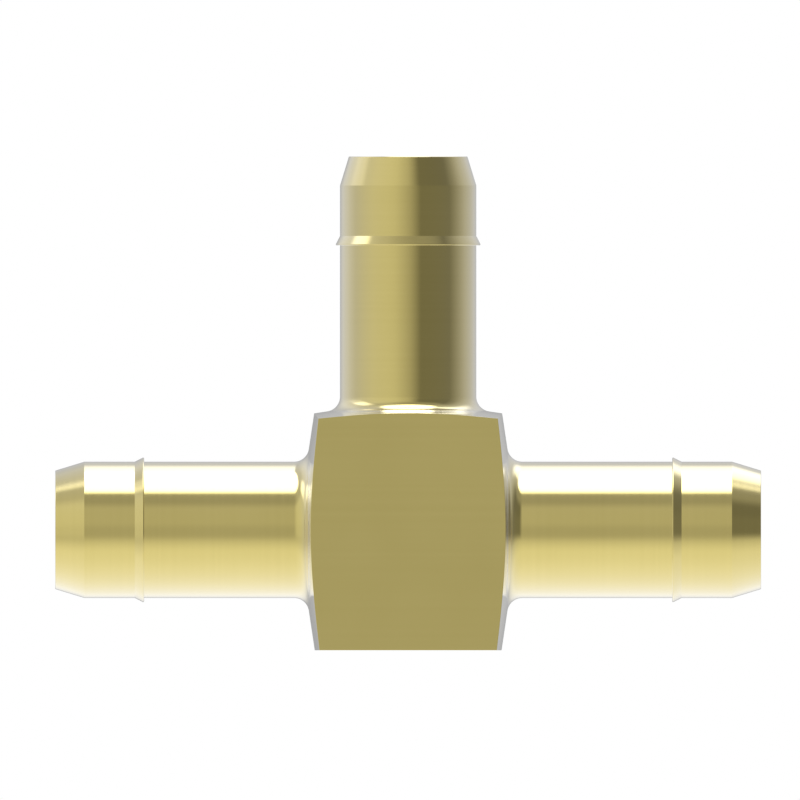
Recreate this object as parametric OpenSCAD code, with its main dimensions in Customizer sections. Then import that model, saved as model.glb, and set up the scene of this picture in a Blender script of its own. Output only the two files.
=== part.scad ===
// Three-way hose barb tee, milled and turned from one piece of brass bar.
// A run of two spigots lies along X and a branch spigot stands along +Z. The
// origin is where their bores cross. All lengths are in millimetres.

/* [Reach of the arms] */
// From the branch's axis to each tip of the run
run_reach = 25.9; // [24:0.1:40]
// From the run's axis to the tip of the branch
branch_reach = 27.4; // [25.5:0.1:40]

/* [Spigots] */
// Outer diameter of the stem that the hose grips
stem_d = 10; // [9:0.1:11]
// Wall between the stem and the bore
wall = 1.5; // [1.2:0.1:2.5]
// Height of the barb above the stem
barb_rise = 0.35; // [0.2:0.05:0.8]
// Angle between the barb's ramp and the axis
barb_angle = 27; // [20:1:40]
// From the tip to the barb's square step
barb_setback = 6.52; // [5.5:0.01:8]
// Height that the lead-in taper falls from the stem to the tip
lead_drop = 0.65; // [0.3:0.05:0.8]
// Length of the lead-in taper
lead_len = 2.13; // [1.2:0.01:3]
// Chamfer that takes the burr off each bore's mouth
mouth_chamfer = 0.25; // [0.1:0.05:0.3]
// Radius of the fillet between a stem and its shoulder
root_fillet = 1.1; // [0.5:0.1:1.4]

/* [Block] */
// Thickness between the front and back flats
block_t = 13.6; // [13.2:0.1:18]
// From the run's axis down to the flat base
base_drop = 8.84; // [7:0.01:14]
// From the branch's axis to the rim of each run shoulder, at the flats
run_shoulder = 7.16; // [6.9:0.01:10]
// From the run's axis to the rim of the branch shoulder, at the flats
branch_shoulder = 8.565; // [7.5:0.005:11]
// Slope of the turned shoulders, which fall away from the spigots
shoulder_angle = 8.5; // [4:0.5:12]

/* [Hidden] */
$fn = 128;

// Radii of a spigot
stem_r = stem_d / 2;
bore_r = stem_r - wall;
barb_r = stem_r + barb_rise;
tip_r = stem_r - lead_drop;
// Length of the barb's ramp along the axis
ramp_len = barb_rise / tan(barb_angle);
// Height of each shoulder cone's point, where the cone reaches its arm's axis
shoulder_rise = block_t / 2 * tan(shoulder_angle);
run_apex = run_shoulder + shoulder_rise;
branch_apex = branch_shoulder + shoulder_rise;
// Radius that clears the block's furthest corner from any arm's axis
blank_r = run_apex + branch_apex + base_drop + block_t;
// How deep a spigot is rooted in the block, and how far a cut runs past a face
rooting = 2;
overcut = 1;

// Half section of one spigot, with its axis upright. The fillet is what a
// circle leaves of the corner between its two tangent points.
module spigot_profile(reach, apex) {
    fillet = [stem_r + root_fillet,
              apex - (stem_r + root_fillet) * tan(shoulder_angle) + root_fillet / cos(shoulder_angle)];
    foot = fillet - root_fillet * [sin(shoulder_angle), cos(shoulder_angle)];
    step = reach - barb_setback;
    difference() {
        polygon([
            [0, foot[1] - rooting],
            [foot[0], foot[1] - rooting],
            foot,
            fillet,
            [stem_r, fillet[1]],
            [stem_r, step],
            [barb_r, step],
            [stem_r, step + ramp_len],
            [stem_r, reach - lead_len],
            [tip_r, reach],
            [0, reach]
        ]);
        translate(fillet) circle(r = root_fillet);
    }
}

// One spigot, turned about Z: root fillet, stem, barb, land and lead-in taper
module spigot(reach, apex) {
    rotate_extrude() spigot_profile(reach, apex);
}

// All that lies under one turned shoulder: a shallow cone about Z
module under_shoulder(apex) {
    rotate_extrude() polygon([
        [0, -blank_r],
        [blank_r, -blank_r],
        [blank_r, apex - blank_r * tan(shoulder_angle)],
        [0, apex]
    ]);
}

// The block: flat bar, faced to a shallow cone on the three sides that carry
// spigots and left flat on its base
module block() {
    intersection() {
        translate([-blank_r, -block_t / 2, -base_drop])
            cube([2 * blank_r, block_t, base_drop + blank_r]);
        under_shoulder(branch_apex);
        rotate([0, 90, 0]) under_shoulder(run_apex);
        rotate([0, -90, 0]) under_shoulder(run_apex);
    }
}

// The chamfer at the mouth of a bore
module mouth(reach) {
    translate([0, 0, reach - mouth_chamfer])
        cylinder(h = mouth_chamfer + overcut, r1 = bore_r, r2 = bore_r + mouth_chamfer + overcut);
}

// The run is drilled right through, and the branch down to the run's axis
module passages() {
    rotate([0, -90, 0]) cylinder(h = 2 * (run_reach + overcut), r = bore_r, center = true);
    cylinder(h = branch_reach + overcut, r = bore_r);
    rotate([0, 90, 0]) mouth(run_reach);
    rotate([0, -90, 0]) mouth(run_reach);
    mouth(branch_reach);
}

module tee() {
    color([0.77, 0.69, 0.38]) difference() {
        union() {
            block();
            spigot(branch_reach, branch_apex);
            rotate([0, 90, 0]) spigot(run_reach, run_apex);
            rotate([0, -90, 0]) spigot(run_reach, run_apex);
        }
        passages();
    }
}

tee();
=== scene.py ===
# %% [markdown]
# # A turned brass hose tee
# This lesson rebuilds a small pipe fitting: a flat-sided brass block with three
# hose spigots, two in a straight run and one standing on top. The packed
# model gives its sizes and its place. Blender adds what a machinist's eye looks
# for: the crisp but slightly broken edges, the smooth fillets at the roots, the
# fine lines that the tools leave, and the way polished brass mirrors a studio.

# %% Load the fixed frame
import math

import bmesh
import bpy
from mathutils import Matrix, Vector


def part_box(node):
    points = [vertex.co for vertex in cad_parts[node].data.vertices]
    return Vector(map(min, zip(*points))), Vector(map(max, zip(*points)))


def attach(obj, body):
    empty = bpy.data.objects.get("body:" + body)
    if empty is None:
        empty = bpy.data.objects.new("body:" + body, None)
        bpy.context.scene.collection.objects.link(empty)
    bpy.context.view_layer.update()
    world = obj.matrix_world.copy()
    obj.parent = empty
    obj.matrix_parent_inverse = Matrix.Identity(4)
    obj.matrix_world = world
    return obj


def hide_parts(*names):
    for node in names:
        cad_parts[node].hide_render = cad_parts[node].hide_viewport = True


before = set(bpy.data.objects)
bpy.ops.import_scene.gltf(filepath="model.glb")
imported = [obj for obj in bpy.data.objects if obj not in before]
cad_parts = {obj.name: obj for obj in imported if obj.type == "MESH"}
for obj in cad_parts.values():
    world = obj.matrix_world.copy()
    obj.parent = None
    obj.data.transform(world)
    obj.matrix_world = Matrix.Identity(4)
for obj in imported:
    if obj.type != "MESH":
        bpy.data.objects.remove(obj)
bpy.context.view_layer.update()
low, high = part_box("tee")
for name, corner in (("lowest", low), ("highest", high)):
    print("the packed tee's", name, "corner:", [round(1000 * v, 2) for v in corner], "mm")

# %% [markdown]
# ## Sizes
# All lengths are written in millimetres, as on a workshop drawing, and become
# metres only when the finished mesh is made. The three reaches and the block's
# faces are read from the packed tee, so that the piece can't drift from it. The
# rest repeats the drawing of one spigot.

# %% Sizes in millimetres
MM = 0.001
RUN_REACH = 1000 * high.x
BRANCH_REACH = 1000 * high.z
BLOCK_HALF = 1000 * high.y
BASE = 1000 * low.z

STEM_R = 5.0
BARB_R = 5.35
TIP_R = 4.35
BORE_R = 3.5
BARB_BACK = 6.52
BARB_ANGLE = math.radians(27)
LEAD_LEN = 2.13
ROOT_FILLET = 1.1
MOUTH_CHAMFER = 0.25
SHOULDER_SLOPE = math.tan(math.radians(8.5))
RUN_APEX = 7.16 + BLOCK_HALF * SHOULDER_SLOPE
BRANCH_APEX = 8.565 + BLOCK_HALF * SHOULDER_SLOPE

CREST_R = 0.07
RIM_R = 0.06
EDGE_BREAK = 0.025
AROUND = 192
reaches = {"run": RUN_REACH, "branch": BRANCH_REACH, "block": 2 * BLOCK_HALF}
print("sizes in mm:", {name: round(size, 2) for name, size in reaches.items()})

# %% [markdown]
# ## The turning profile
# On a lathe the tool follows one line from the tip of a spigot to the shoulder:
# round the rim, up the lead-in taper, along the land, over the barb, down its
# square step, along the stem, round the root fillet and out over the shoulder,
# which is a very flat cone. A point of the line is (distance along the axis,
# radius). Every corner that a finger would feel is a small arc, because a truly
# sharp edge never catches the light. The same line serves all three spigots.

# %% Draw the tool's line
def round_corner(before, corner, after, radius, steps):
    """The points of an arc that rounds off one corner of a line."""
    into, out = (before - corner).normalized(), (after - corner).normalized()
    half = into.angle(out) / 2
    centre = corner + (into + out).normalized() * radius / math.sin(half)
    start = corner + into * radius / math.tan(half) - centre
    end = corner + out * radius / math.tan(half) - centre
    turn = start.angle_signed(end)
    return [centre + Matrix.Rotation(-turn * i / steps, 2) @ start for i in range(steps + 1)]


def tool_line(reach, apex, beyond):
    """Where the lathe tool goes, from the axis at the tip out to the radius beyond."""
    step = reach - BARB_BACK
    ramp = (BARB_R - STEM_R) / math.tan(BARB_ANGLE)
    corners = [
        (Vector((reach, 0)), 0, 0),
        (Vector((reach, TIP_R)), RIM_R, 8),
        (Vector((reach - LEAD_LEN, STEM_R)), 0, 0),
        (Vector((step + ramp, STEM_R)), 0, 0),
        (Vector((step, BARB_R)), CREST_R, 12),
        (Vector((step, STEM_R)), 0, 0),
        (Vector((apex - STEM_R * SHOULDER_SLOPE, STEM_R)), ROOT_FILLET, 24),
        (Vector((apex - beyond * SHOULDER_SLOPE, beyond)), 0, 0),
    ]
    line = []
    for i, (corner, radius, steps) in enumerate(corners):
        if radius:
            line += round_corner(corners[i - 1][0], corner, corners[i + 1][0], radius, steps)
        else:
            line.append(corner)
    return line


# The cuts run out to radii that clear the block's corners
RUN_CLEAR = 12.6
BRANCH_CLEAR = 10.2
run_line = tool_line(RUN_REACH, RUN_APEX, RUN_CLEAR)
branch_line = tool_line(BRANCH_REACH, BRANCH_APEX, BRANCH_CLEAR)
print("the tool's line has", len(run_line), "points")

# %% [markdown]
# ## Stock and cutters
# The fitting could be put together from tubes and a box, but then the tubes
# would meet the block in seams. The real one starts as a bar and loses what the
# tools take away, so the mesh does the same. Each cutter is the space that a
# tool sweeps: its line is closed well outside the metal and spun about the
# spigot's axis. The poles on the axis are merged after the spin, and the normals
# are worked out again, because a spin can turn a shape inside out.

# %% Spin a cutter about an axis
PAST_TIP = 3
OVERCUT = 1
AT_A_POLE = 1e-5


def open_edges(bm):
    """How many edges don't join exactly two faces."""
    return sum(1 for edge in bm.edges if not edge.is_manifold)


def placed(bm, name):
    """An object with the mesh that has been drawn, in the scene."""
    mesh = bpy.data.meshes.new(name)
    bm.to_mesh(mesh)
    bm.free()
    made = bpy.data.objects.new(name, mesh)
    bpy.context.scene.collection.objects.link(made)
    return made


def spun(name, outline, axis):
    """A solid of revolution from a closed outline of (along, radius) points, about an axis."""
    bm = bmesh.new()
    side = Vector((0, 1, 0))
    verts = [bm.verts.new(axis * p.x + side * p.y) for p in outline]
    edges = [bm.edges.new((a, b)) for a, b in zip(verts, verts[1:])]
    bmesh.ops.spin(
        bm, geom=verts + edges, cent=(0, 0, 0), axis=axis, angle=math.tau,
        steps=AROUND, use_merge=True, use_duplicate=False,
    )
    bmesh.ops.remove_doubles(bm, verts=bm.verts[:], dist=AT_A_POLE)
    bmesh.ops.recalc_face_normals(bm, faces=bm.faces[:])
    volume = round(bm.calc_volume(), 1)
    print(name, len(bm.faces), "faces, volume", volume, "mm3, open edges", open_edges(bm))
    return placed(bm, name)


def lathe_cutter(name, line, axis, clear):
    """All that is cut away outside one tool line, out to the radius clear."""
    past = line[0].x + PAST_TIP
    return spun(name, line + [Vector((past, clear)), Vector((past, 0))], axis)


def drill_line(far):
    """The wall of a drilled hole and the chamfer at its mouth, towards the outside."""
    return [
        Vector((far - MOUTH_CHAMFER, BORE_R)),
        Vector((far + OVERCUT, BORE_R + MOUTH_CHAMFER + OVERCUT)),
        Vector((far + OVERCUT, 0)),
    ]


RIGHT, LEFT, UP = Vector((1, 0, 0)), Vector((-1, 0, 0)), Vector((0, 0, 1))
run_hole = drill_line(RUN_REACH)
other_end = [Vector((-p.x, p.y)) for p in reversed(run_hole)]
branch_hole = [Vector((0, 0)), Vector((0, BORE_R))] + drill_line(BRANCH_REACH)
cutters = [
    lathe_cutter("turn_right", run_line, RIGHT, RUN_CLEAR),
    lathe_cutter("turn_left", run_line, LEFT, RUN_CLEAR),
    lathe_cutter("turn_branch", branch_line, UP, BRANCH_CLEAR),
    spun("drill_run", other_end + run_hole, RIGHT),
    spun("drill_branch", branch_hole, UP),
]

# %% [markdown]
# ## The bar
# The stock is a T sawn from flat bar: a long piece for the run and a short one
# for the branch. They overlap, so they are joined first, and then each cutter is
# taken away in turn.

# %% Cut the tee from the bar
def bar(name, half_width, z_low, z_high):
    """A piece of flat bar, as thick as the fitting."""
    bm = bmesh.new()
    bmesh.ops.create_cube(bm, size=1)
    size = Vector((2 * half_width, 2 * BLOCK_HALF, z_high - z_low))
    bmesh.ops.scale(bm, vec=size, verts=bm.verts[:])
    bmesh.ops.translate(bm, vec=(0, 0, (z_high + z_low) / 2), verts=bm.verts[:])
    return placed(bm, name)


def machined(stock, operation, tool):
    """Applies one boolean with a tool, and removes the tool."""
    cut = stock.modifiers.new(operation.lower(), "BOOLEAN")
    cut.operation, cut.object, cut.solver = operation, tool, "MANIFOLD"
    graph = bpy.context.evaluated_depsgraph_get()
    done = bpy.data.meshes.new_from_object(stock.evaluated_get(graph))
    stock.modifiers.clear()
    old, stock.data = stock.data, done
    bpy.data.meshes.remove(old)
    bpy.data.objects.remove(tool)


BRANCH_BAR_HALF = 7.2
FACING = 0.2
tee = bar("tee_turned", RUN_REACH + OVERCUT, BASE, BRANCH_APEX + FACING)
machined(tee, "UNION", bar("branch_bar", BRANCH_BAR_HALF, 0, BRANCH_REACH + OVERCUT))
for cutter in cutters:
    machined(tee, "DIFFERENCE", cutter)
print("after machining:", len(tee.data.polygons), "faces")

# %% [markdown]
# ## The same mesh on every run
# The boolean works on several threads, so it leaves the same faces in another
# order each time. The next steps merge and dissolve in that order, and a few
# slivers would come out differently. So the edges and faces are sorted first.

# %% Sort the edges and faces
def corner_number(part):
    """One number from the lowest corners of an edge or a face, to sort by."""
    number = 0
    for index in sorted(v.index for v in part.verts)[:3]:
        number = number * len(tee.data.vertices) + index
    return number


bm = bmesh.new()
bm.from_mesh(tee.data)
bm.edges.sort(key=corner_number)
bm.faces.sort(key=corner_number)
bm.to_mesh(tee.data)
bm.free()
first, last = (list(tee.data.polygons[i].vertices) for i in (0, -1))
print("first face:", first, "last:", last)

# %% [markdown]
# ## The edges
# The cuts leave slivers where facets of one cutter meet another, so close points
# are merged and faces that lie in one plane are joined. Then the outer edges of
# the block are broken, as a machinist draws a fine file along them. The
# photograph shows them almost sharp, so the bevel is only a few hundredths of a
# millimetre, just enough to give an edge its thin line of light.

# %% Clean the mesh and break the edges
def edge_turn(edge):
    """How far the surface turns at an edge, in degrees, or 0 at an open one."""
    return math.degrees(edge.calc_face_angle(0))


def off_axes(point):
    """The smaller of a point's distances from the run's axis and the branch's."""
    return min(math.hypot(point.y, point.z), math.hypot(point.x, point.y))


SLIVER = 2e-4
IN_ONE_PLANE = math.radians(0.3)
CORNER_TURN = 35
CLEAR_OF_BARB = 0.3
BREAK_STEPS = 2
bm = bmesh.new()
bm.from_mesh(tee.data)
bmesh.ops.remove_doubles(bm, verts=bm.verts[:], dist=SLIVER)
bmesh.ops.dissolve_limit(bm, angle_limit=IN_ONE_PLANE, verts=bm.verts[:], edges=bm.edges[:])
bmesh.ops.recalc_face_normals(bm, faces=bm.faces[:])
bm.normal_update()
sharp = [e for e in bm.edges if edge_turn(e) > CORNER_TURN and e.is_convex]
outer = [e for e in sharp if min(off_axes(v.co) for v in e.verts) > BARB_R + CLEAR_OF_BARB]
print(len(outer), "edges to break; open edges", open_edges(bm))
bmesh.ops.bevel(
    bm, geom=outer, offset=EDGE_BREAK, offset_type="OFFSET", affect="EDGES", segments=BREAK_STEPS,
    profile=0.5, material=-1, clamp_overlap=True,
)
print("tee:", len(bm.faces), "faces,", round(bm.calc_volume(), 1), "mm3, open edges", open_edges(bm))

# %% [markdown]
# ## Normals that count by area
# Smooth shading gives each corner the mean normal of the faces that meet there.
# If a long taper and a tiny arc count the same, the end of the taper leans over
# by two degrees, and a highlight on it narrows to a point. So each face counts by
# its area here, and the tapers, the stems and the shoulders mirror truly.

# %% Blend the normals and scale to metres
CREASE = 12


def blending_faces(vert):
    """The faces round a vertex, in groups that smooth edges join."""
    groups = [[face] for face in vert.link_faces]
    for edge in vert.link_edges:
        if edge.smooth:
            joined = [group for group in groups if any(face in group for face in edge.link_faces)]
            groups = [group for group in groups if group not in joined] + [sum(joined, [])]
    return groups


for face in bm.faces:
    face.smooth = True
bm.normal_update()
for edge in bm.edges:
    edge.smooth = edge_turn(edge) < CREASE
bm.verts.index_update()
bm.faces.index_update()
blended = {}
for vert in bm.verts:
    for group in blending_faces(vert):
        normal = sum((face.normal * face.calc_area() for face in group), Vector()).normalized()
        for face in group:
            blended[face.index, vert.index] = normal
corners = [blended[face.index, loop.vert.index] for face in bm.faces for loop in face.loops]
bmesh.ops.scale(bm, vec=(MM, MM, MM), verts=bm.verts[:])
bm.to_mesh(tee.data)
bm.free()
tee.data.normals_split_custom_set(corners)
print("normals:", len(corners), "corners")

# %% [markdown]
# ## Shader maths in Python
# A node graph for a metal is mostly arithmetic. A small class wraps a socket, so
# that an expression such as (1 - mask) * 0.2 adds its Math nodes by itself. Every
# other node comes from one method, which takes its type, its settings and the
# values or links of its inputs.

# %% A desk for writing node graphs
class Signal:
    """A number that travels along a link. Operators on it add Math nodes."""

    def __init__(self, desk, socket):
        self.desk, self.socket = desk, socket

    def __add__(self, other):
        return self.desk.math("ADD", self, other)

    def __sub__(self, other):
        return self.desk.math("SUBTRACT", self, other)

    def __rsub__(self, other):
        return self.desk.math("SUBTRACT", other, self)

    def __mul__(self, other):
        return self.desk.math("MULTIPLY", self, other)

    def __truediv__(self, other):
        return self.desk.math("DIVIDE", self, other)

    def __pow__(self, other):
        return self.desk.math("POWER", self, other)

    __radd__, __rmul__ = __add__, __mul__


class Desk:
    """Writes nodes into one node tree."""

    def __init__(self, tree):
        self.tree = tree
        tree.nodes.clear()

    def node(self, kind, settings=None, inputs=None, output=0):
        """Any node: its settings first, then its inputs by name or number."""
        made = self.tree.nodes.new(kind)
        for name, value in (settings or {}).items():
            if name == "stops":
                self.fill_ramp(made.color_ramp, value)
            else:
                setattr(made, name, value)
        for name, value in (inputs or {}).items():
            if isinstance(value, Signal):
                self.tree.links.new(value.socket, made.inputs[name])
            else:
                made.inputs[name].default_value = value
        return Signal(self, made.outputs[output]) if made.outputs else made

    def fill_ramp(self, ramp, stops):
        """Colour ramp stops as (position, grey) pairs."""
        while len(ramp.elements) < len(stops):
            ramp.elements.new(1)
        for element, (place, grey) in zip(ramp.elements, stops):
            element.position, element.color = place, (grey, grey, grey, 1)

    def math(self, operation, *values):
        """One Math node on numbers and signals."""
        return self.node("ShaderNodeMath", {"operation": operation}, dict(enumerate(values)))

    def rise(self, value, start, end):
        """0 before start, 1 after end, and a smooth step between them."""
        ends = {"Value": value, "From Min": start, "From Max": end}
        return self.node("ShaderNodeMapRange", {"interpolation_type": "SMOOTHSTEP"}, ends)

    def ramp(self, value, stops):
        """A grey colour ramp, read at value."""
        return self.node("ShaderNodeValToRGB", {"stops": stops}, {"Fac": value})

    def axes(self, vector):
        """The x, y and z of a vector."""
        split = self.node("ShaderNodeSeparateXYZ", None, {0: vector}).socket.node
        return [Signal(self, socket) for socket in split.outputs]

    def finish(self, kind, shader):
        """Links the finished shader to the tree's output."""
        self.node(kind, None, {"Surface": shader})


print("signals add", [name for name in vars(Signal) if name.startswith("__r")], "from the right too")

# %% [markdown]
# ## Polished brass
# Brass takes its colour from its reflections: red and green come back strongly
# and blue weakly. In the photograph the spigots whiten towards their outlines
# sooner than bare metal does, as a buffed and lightly filmed surface would. A
# coat of clear lacquer could do that, but it adds a second, sharper reflection,
# which isn't there. So the brass is mixed with a colourless mirror by how far the
# surface turns away. The tools leave traces: rings round the spigots and their
# shoulders, from the lathe, and long drawn lines on the flats. They are so fine
# that only the roughness, a shallow bump and a breath of tone show them.

# %% Where each tool has passed
brass = bpy.data.materials.new("brass_polished")
brass.use_nodes = True
desk = Desk(brass.node_tree)
place = desk.node("ShaderNodeTexCoord", None, None, "Object")
x, y, z = desk.axes(place)
along_run = desk.math("ABSOLUTE", x)
about_run = desk.math("SQRT", y * y + z * z)
about_branch = desk.math("SQRT", x * x + y * y)

# A point was turned if it lies on or beyond a shoulder's cone
SHORT_OF_CONE, NEAR_CONE = -0.06 * MM, -0.02 * MM
past_run = along_run + about_run * SHOULDER_SLOPE - RUN_APEX * MM
past_branch = z + about_branch * SHOULDER_SLOPE - BRANCH_APEX * MM
on_run = desk.rise(past_run, SHORT_OF_CONE, NEAR_CONE)
on_branch = desk.rise(past_branch, SHORT_OF_CONE, NEAR_CONE) * (1 - on_run)

# It was drilled if it is as near an axis as the wall of a bore
OFF_WALL, NEAR_WALL = (BORE_R + 0.2) * MM, (BORE_R + 0.05) * MM
in_run = desk.rise(about_run, OFF_WALL, NEAR_WALL)
in_branch = desk.rise(about_branch, OFF_WALL, NEAR_WALL) * desk.rise(z, -1 * MM, 0.0)
drilled = desk.math("MAXIMUM", in_run, in_branch)
print("nodes that place the tools:", len(brass.node_tree.nodes))

# %% The marks they leave
RINGS_PER_MM = 2.5
LINES_PER_MM = 2.0
POLISHED, IN_MARKS, IN_BORES = 0.095, 0.04, 0.22
MARK_DEPTH = 6e-7


def fine_lines(along, per_mm, seed):
    """Irregular lines across one coordinate, as a brightness between 0 and 1."""
    inputs = {"W": along * (per_mm / MM) + seed, "Scale": 1.0, "Detail": 3.0, "Roughness": 0.6}
    return desk.node("ShaderNodeTexNoise", {"noise_dimensions": "1D"}, inputs)


run_rings = fine_lines(along_run - about_run, RINGS_PER_MM, 3.1)
branch_rings = fine_lines(z - about_branch, RINGS_PER_MM, 7.7)
drawn_lines = fine_lines(z, LINES_PER_MM, 11.3)
marks = run_rings * on_run + branch_rings * on_branch + drawn_lines * (1 - on_run - on_branch)
rough = POLISHED + marks * IN_MARKS + drilled * IN_BORES
relief = {"Strength": 0.5, "Distance": MARK_DEPTH, "Height": marks}
bump = desk.node("ShaderNodeBump", None, relief)
print("rings every", 1 / RINGS_PER_MM, "mm, drawn lines every", 1 / LINES_PER_MM, "mm")

# %% The metal
WARM_BRASS = (0.738, 0.619, 0.218, 1)
PALE_BRASS = (0.762, 0.641, 0.232, 1)
TURN_POWER = 1.55
CLOUD_SCALE = 160.0

cloud = desk.node("ShaderNodeTexNoise", None, {"Vector": place, "Scale": CLOUD_SCALE, "Detail": 2.0})
patches = desk.rise(cloud * 0.6 + marks * 0.4, 0.3, 0.7)
colours = {"Factor": patches, 6: WARM_BRASS, 7: PALE_BRASS}
tone = desk.node("ShaderNodeMix", {"data_type": "RGBA"}, colours, 2)
surface = {"Metallic": 1.0, "Roughness": rough, "Normal": bump}
body = desk.node("ShaderNodeBsdfPrincipled", None, {"Base Color": tone, **surface})
glint = desk.node("ShaderNodeBsdfPrincipled", None, {"Base Color": (1, 1, 1, 1), **surface})
turned_away = desk.node("ShaderNodeLayerWeight", None, {"Blend": 0.5}, "Facing")
blend = desk.node("ShaderNodeMixShader", None, {0: turned_away ** TURN_POWER, 1: body, 2: glint})
desk.finish("ShaderNodeOutputMaterial", blend)
print("brass has", len(brass.node_tree.nodes), "nodes")

# %% Put the piece in the packed tee's place
tee.data.materials.clear()
tee.data.materials.append(brass)
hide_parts("tee")
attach(tee, "root")
print(tee.name, "stands for the packed tee")

# %% [markdown]
# ## The studio
# A mirror shows its room, so the room is part of the metal's look. The photograph
# tells what stood there: a white sweep under the piece, a pale wall on the left,
# a mid-grey one at the camera, a dark flag on the right, a big softbox with
# rounded corners overhead, a second lamp behind on the right and a small strip
# high on the left.
# Lamps and boards could be built round the piece, but in a view from the side
# they would stand in the picture. So they are written as the world's light for
# each direction. First come the walls and the ceiling, by their bearing.

# %% Walls and ceiling
FULL_TURN = 360.0
world = bpy.data.worlds.new("studio")
bpy.context.scene.world = world
world.use_nodes = True
desk = Desk(world.node_tree)
right, back, up = desk.axes(desk.node("ShaderNodeTexCoord", None, None, "Generated"))
bearing = desk.math("ARCTAN2", right, 0 - back) * (1 / math.tau) + 0.5
height = desk.math("ARCSINE", up) * (180 / math.pi)
aside = desk.math("ABSOLUTE", right)
behind = desk.math("MAXIMUM", back, 0.0)


def at(degrees):
    """A bearing, in degrees to the right of the camera, as a place on a ramp."""
    return degrees / FULL_TURN + 0.5


def round_the_room(*levels):
    """A ramp of brightness from (bearing in degrees, brightness) pairs."""
    return desk.ramp(bearing, [(at(degrees), level) for degrees, level in levels])


walls = round_the_room(
    (-180, 0.60), (-170, 0.55), (-145, 0.79), (-125, 0.79), (-100, 0.68), (-62, 0.78), (-36, 0.78),
    (-22, 0.75), (0, 0.58), (21, 0.225), (75, 0.215), (112, 0.52), (145, 0.66), (170, 0.65), (180, 0.60),
)
ceiling = round_the_room(
    (-180, 0.60), (-150, 0.65), (-100, 0.66), (-75, 0.56), (-45, 0.60), (-8, 0.44), (15, 0.37),
    (60, 0.355), (85, 0.46), (140, 0.62), (180, 0.60),
)
FLAG_TOP_DARKER = 0.1
# The walls darken towards the horizon, most behind the piece and least on its right
near_horizon = desk.rise(height, 13.0 + behind * 15.0, 0.0)
straight_behind = desk.rise(behind, 0.97, 1.0) * 0.1
dimmer = 0.198 + back * 0.0725 + straight_behind - aside ** 0.5 * 0.1425 - right * 0.045
# The dark flag on the right is darkest in its upper half, and it is tallest at its far end
flag_top = desk.rise(right, 0.1, 0.33) * desk.rise(back, 0.25, -0.05) * desk.rise(height, 14.0, 28.0)
far_end = desk.rise(right, 0.3, 0.6) * desk.rise(back, -0.4, -0.05)
walls = walls * (1 - near_horizon * dimmer - flag_top * FLAG_TOP_DARKER)
overhead = desk.rise(height - aside * 6.0 - far_end * 7.0, 34.0, 50.0)
room = walls * (1 - overhead) + ceiling * overhead
print("walls and ceiling:", len(world.node_tree.nodes), "nodes")

# %% [markdown]
# ## The white sweep
# The photograph's background is plain white, and so is the floor that the metal
# mirrors. Its strength is 1 to the camera, to mirrored rays and to rays that pass
# through a surface, and a little less to diffuse light, so the white background
# puts no more light on the object. The metal sees it at its whitest straight
# down, and sees it darken towards the foot of the walls.

# %% The sweep under the piece
TO_DIFFUSE_RAYS = 0.9
rays = desk.node("ShaderNodeLightPath").socket.node.outputs
camera_ray = Signal(desk, rays["Is Camera Ray"])
mirrored_ray = Signal(desk, rays["Is Glossy Ray"])
through_ray = Signal(desk, rays["Is Transmission Ray"])
shows_white = camera_ray + mirrored_ray + through_ray
sweep = shows_white + (1 - shows_white) * TO_DIFFUSE_RAYS

# It is brightest straight down, and a little brighter behind and on the left
WALL_FOOT = 0.57
depth = height * -1.0
near_walls = desk.rise(depth, 40.0, 0.0)
pool = 0.02 + desk.rise(depth, 40.0, 75.0) * 0.045
ground = sweep * (1 - near_walls) + near_walls * WALL_FOOT + pool + back * 0.08 - right * 0.05
below = desk.rise(depth + right * 1.5, 4.0, 20.0)
room = room * (1 - below) + ground * below
print("with the sweep:", len(world.node_tree.nodes), "nodes")

# %% [markdown]
# ## The lamps
# Each lamp is a soft-edged patch of directions. The big softbox is a square with
# well rounded corners, and it hangs with one corner towards the camera. Its edge
# is drawn on the flat plane overhead, where a direction's place is its sideways
# part over its upward part.

# %% Softbox, far lamp and left strip
SOFTBOX_LIGHT, FAR_LIGHT, STRIP_LIGHT = 3.4, 1.3, 1.1
SOFTBOX_EDGE, SOFTBOX_FULL = 0.5575, 0.3615
MIDDLE_RIGHT, MIDDLE_BACK = 0.004, 0.025
SIDES_NEARER, SIDES_SHORTER = 0.2, 1.074
ROUNDNESS = 1.6

# The sum of two powers is a square on its corner at a power of 1 and a circle at 2.
# The side corners sit a little nearer the camera than the middle does.
level = desk.math("MAXIMUM", up, 0.05)
sideways = desk.math("ABSOLUTE", right / level - MIDDLE_RIGHT)
ahead = desk.math("ABSOLUTE", back / level - MIDDLE_BACK + sideways * SIDES_NEARER)
off_middle = ((sideways * SIDES_SHORTER) ** ROUNDNESS + ahead ** ROUNDNESS) ** (1 / ROUNDNESS)
softbox = desk.rise(off_middle, SOFTBOX_EDGE, SOFTBOX_FULL) * desk.rise(up, 0.3, 0.5)

# The far lamp leans to the right at its top, and its foot is softer straight behind
lean = desk.math("MAXIMUM", height - 50.0, 0.0) * (1 / FULL_TURN)
soft = desk.rise(aside, 0.3, 0.0)
foot = desk.rise(height, 26.0 + soft * 5.0, 50.0 + soft * 12.0)
far_width = desk.rise(bearing + lean, at(118), at(147)) + desk.rise(bearing, at(-169), at(-179))
far_lamp = far_width * foot * desk.rise(height, 80.0, 68.0)

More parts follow.
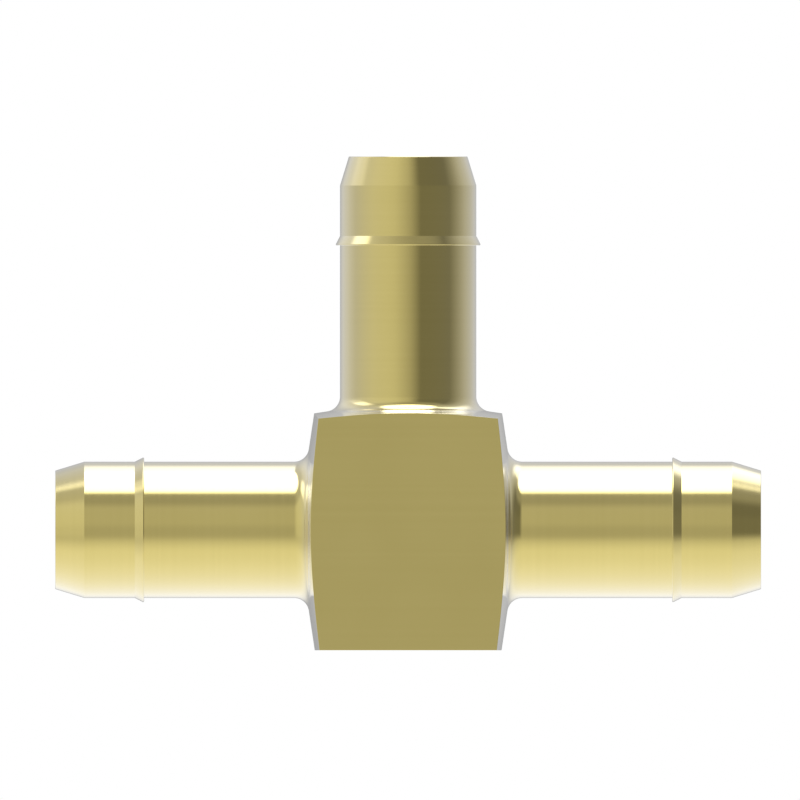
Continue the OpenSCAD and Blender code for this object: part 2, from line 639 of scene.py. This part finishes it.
# The strip leans too, and has a dim skirt
STRIP_BEARING, STRIP_HEIGHT, STRIP_LEAN = -99, 38.0, 0.35
strip_middle = (height - STRIP_HEIGHT) * (STRIP_LEAN / FULL_TURN)
off_strip = desk.math("ABSOLUTE", bearing - at(STRIP_BEARING) - strip_middle)
skirt = desk.rise(height, 12.0, 22.0) * 0.2 + desk.rise(height, 24.0, 36.0) * 0.8
strip = desk.rise(off_strip, 21 / FULL_TURN, 8 / FULL_TURN) * skirt * desk.rise(height, 57.0, 42.0)
lamps = softbox * SOFTBOX_LIGHT + far_lamp * (1 - softbox) * FAR_LIGHT + strip * STRIP_LIGHT
print("with the lamps:", len(world.node_tree.nodes), "nodes")

# %% What each kind of ray sees
# The camera, and a ray through glass, see the sweep alone. The metal and the
# diffuse light also see what stands in front of it.
past_the_room = camera_ray + through_ray
strength = (room * (1 - softbox) + lamps) * (1 - past_the_room) + sweep * past_the_room
background = desk.node("ShaderNodeBackground", None, {"Color": (1, 1, 1, 1), "Strength": strength})
desk.finish("ShaderNodeOutputWorld", background)
print("studio has", len(world.node_tree.nodes), "nodes")

# %% [markdown]
# ## The floor
# A disc of white paper carries the piece and shows its shadow. The metal mirrors
# the white sweep instead of the disc, so the disc is hidden from mirrored rays.
# From beneath it is clear, so that the block's underside can be looked at.

# %% The floor
FLOOR_R = 0.5
FLOOR_SIDES = 64
FLOOR_GAP = 0.01
GRAIN_SCALE = 900.0
bm = bmesh.new()
bmesh.ops.create_circle(bm, cap_ends=True, segments=FLOOR_SIDES, radius=FLOOR_R)
bmesh.ops.translate(bm, vec=(0, 0, (BASE - FLOOR_GAP) * MM), verts=bm.verts[:])
floor = placed(bm, "floor")

paper = bpy.data.materials.new("white_paper")
paper.use_nodes = True
desk = Desk(paper.node_tree)
place = desk.node("ShaderNodeTexCoord", None, None, "Object")
grain = desk.node("ShaderNodeTexNoise", None, {"Vector": place, "Scale": GRAIN_SCALE})
whites = {"Factor": grain, 6: (0.80, 0.80, 0.80, 1), 7: (0.83, 0.83, 0.83, 1)}
tint = desk.node("ShaderNodeMix", {"data_type": "RGBA"}, whites, 2)
sheet = desk.node("ShaderNodeBsdfPrincipled", None, {"Base Color": tint, "Roughness": 0.9})
clear = desk.node("ShaderNodeBsdfTransparent")
from_beneath = desk.node("ShaderNodeNewGeometry", None, None, "Backfacing")
one_sided = desk.node("ShaderNodeMixShader", None, {0: from_beneath, 1: sheet, 2: clear})
desk.finish("ShaderNodeOutputMaterial", one_sided)
floor.data.materials.append(paper)
floor.visible_glossy = False
print("floor is", round(2 * FLOOR_R, 2), "m across")

# %% [markdown]
# ## The camera
# The photograph looks level and straight at the front flat, with no perspective
# at all, so the camera is orthographic. Its scale and its centre come from the
# photograph: 136.25 pixels are the 10 mm of a stem, and the bores cross a little
# to the right of its middle and below it.

# %% The camera
FRAME_PIXELS = 800
CROSSING = (408.155, 529.83)
STEM_PIXELS = 136.25
PIXEL = 2 * STEM_R / STEM_PIXELS
CAMERA_BACK = 0.3
photo_camera = bpy.data.cameras.new("photo_camera")
photo_camera.type = "ORTHO"
photo_camera.ortho_scale = FRAME_PIXELS * PIXEL * MM
camera = bpy.data.objects.new("photo_camera", photo_camera)
camera.location = (
    (FRAME_PIXELS / 2 - CROSSING[0]) * PIXEL * MM,
    -CAMERA_BACK,
    (CROSSING[1] - FRAME_PIXELS / 2) * PIXEL * MM,
)
camera.rotation_euler = (math.radians(90), 0, 0)
bpy.context.scene.collection.objects.link(camera)
bpy.context.scene.camera = camera
bpy.context.scene.view_settings.view_transform = "Standard"
print("camera sees", round(1000 * photo_camera.ortho_scale, 2), "mm")

# %% [markdown]
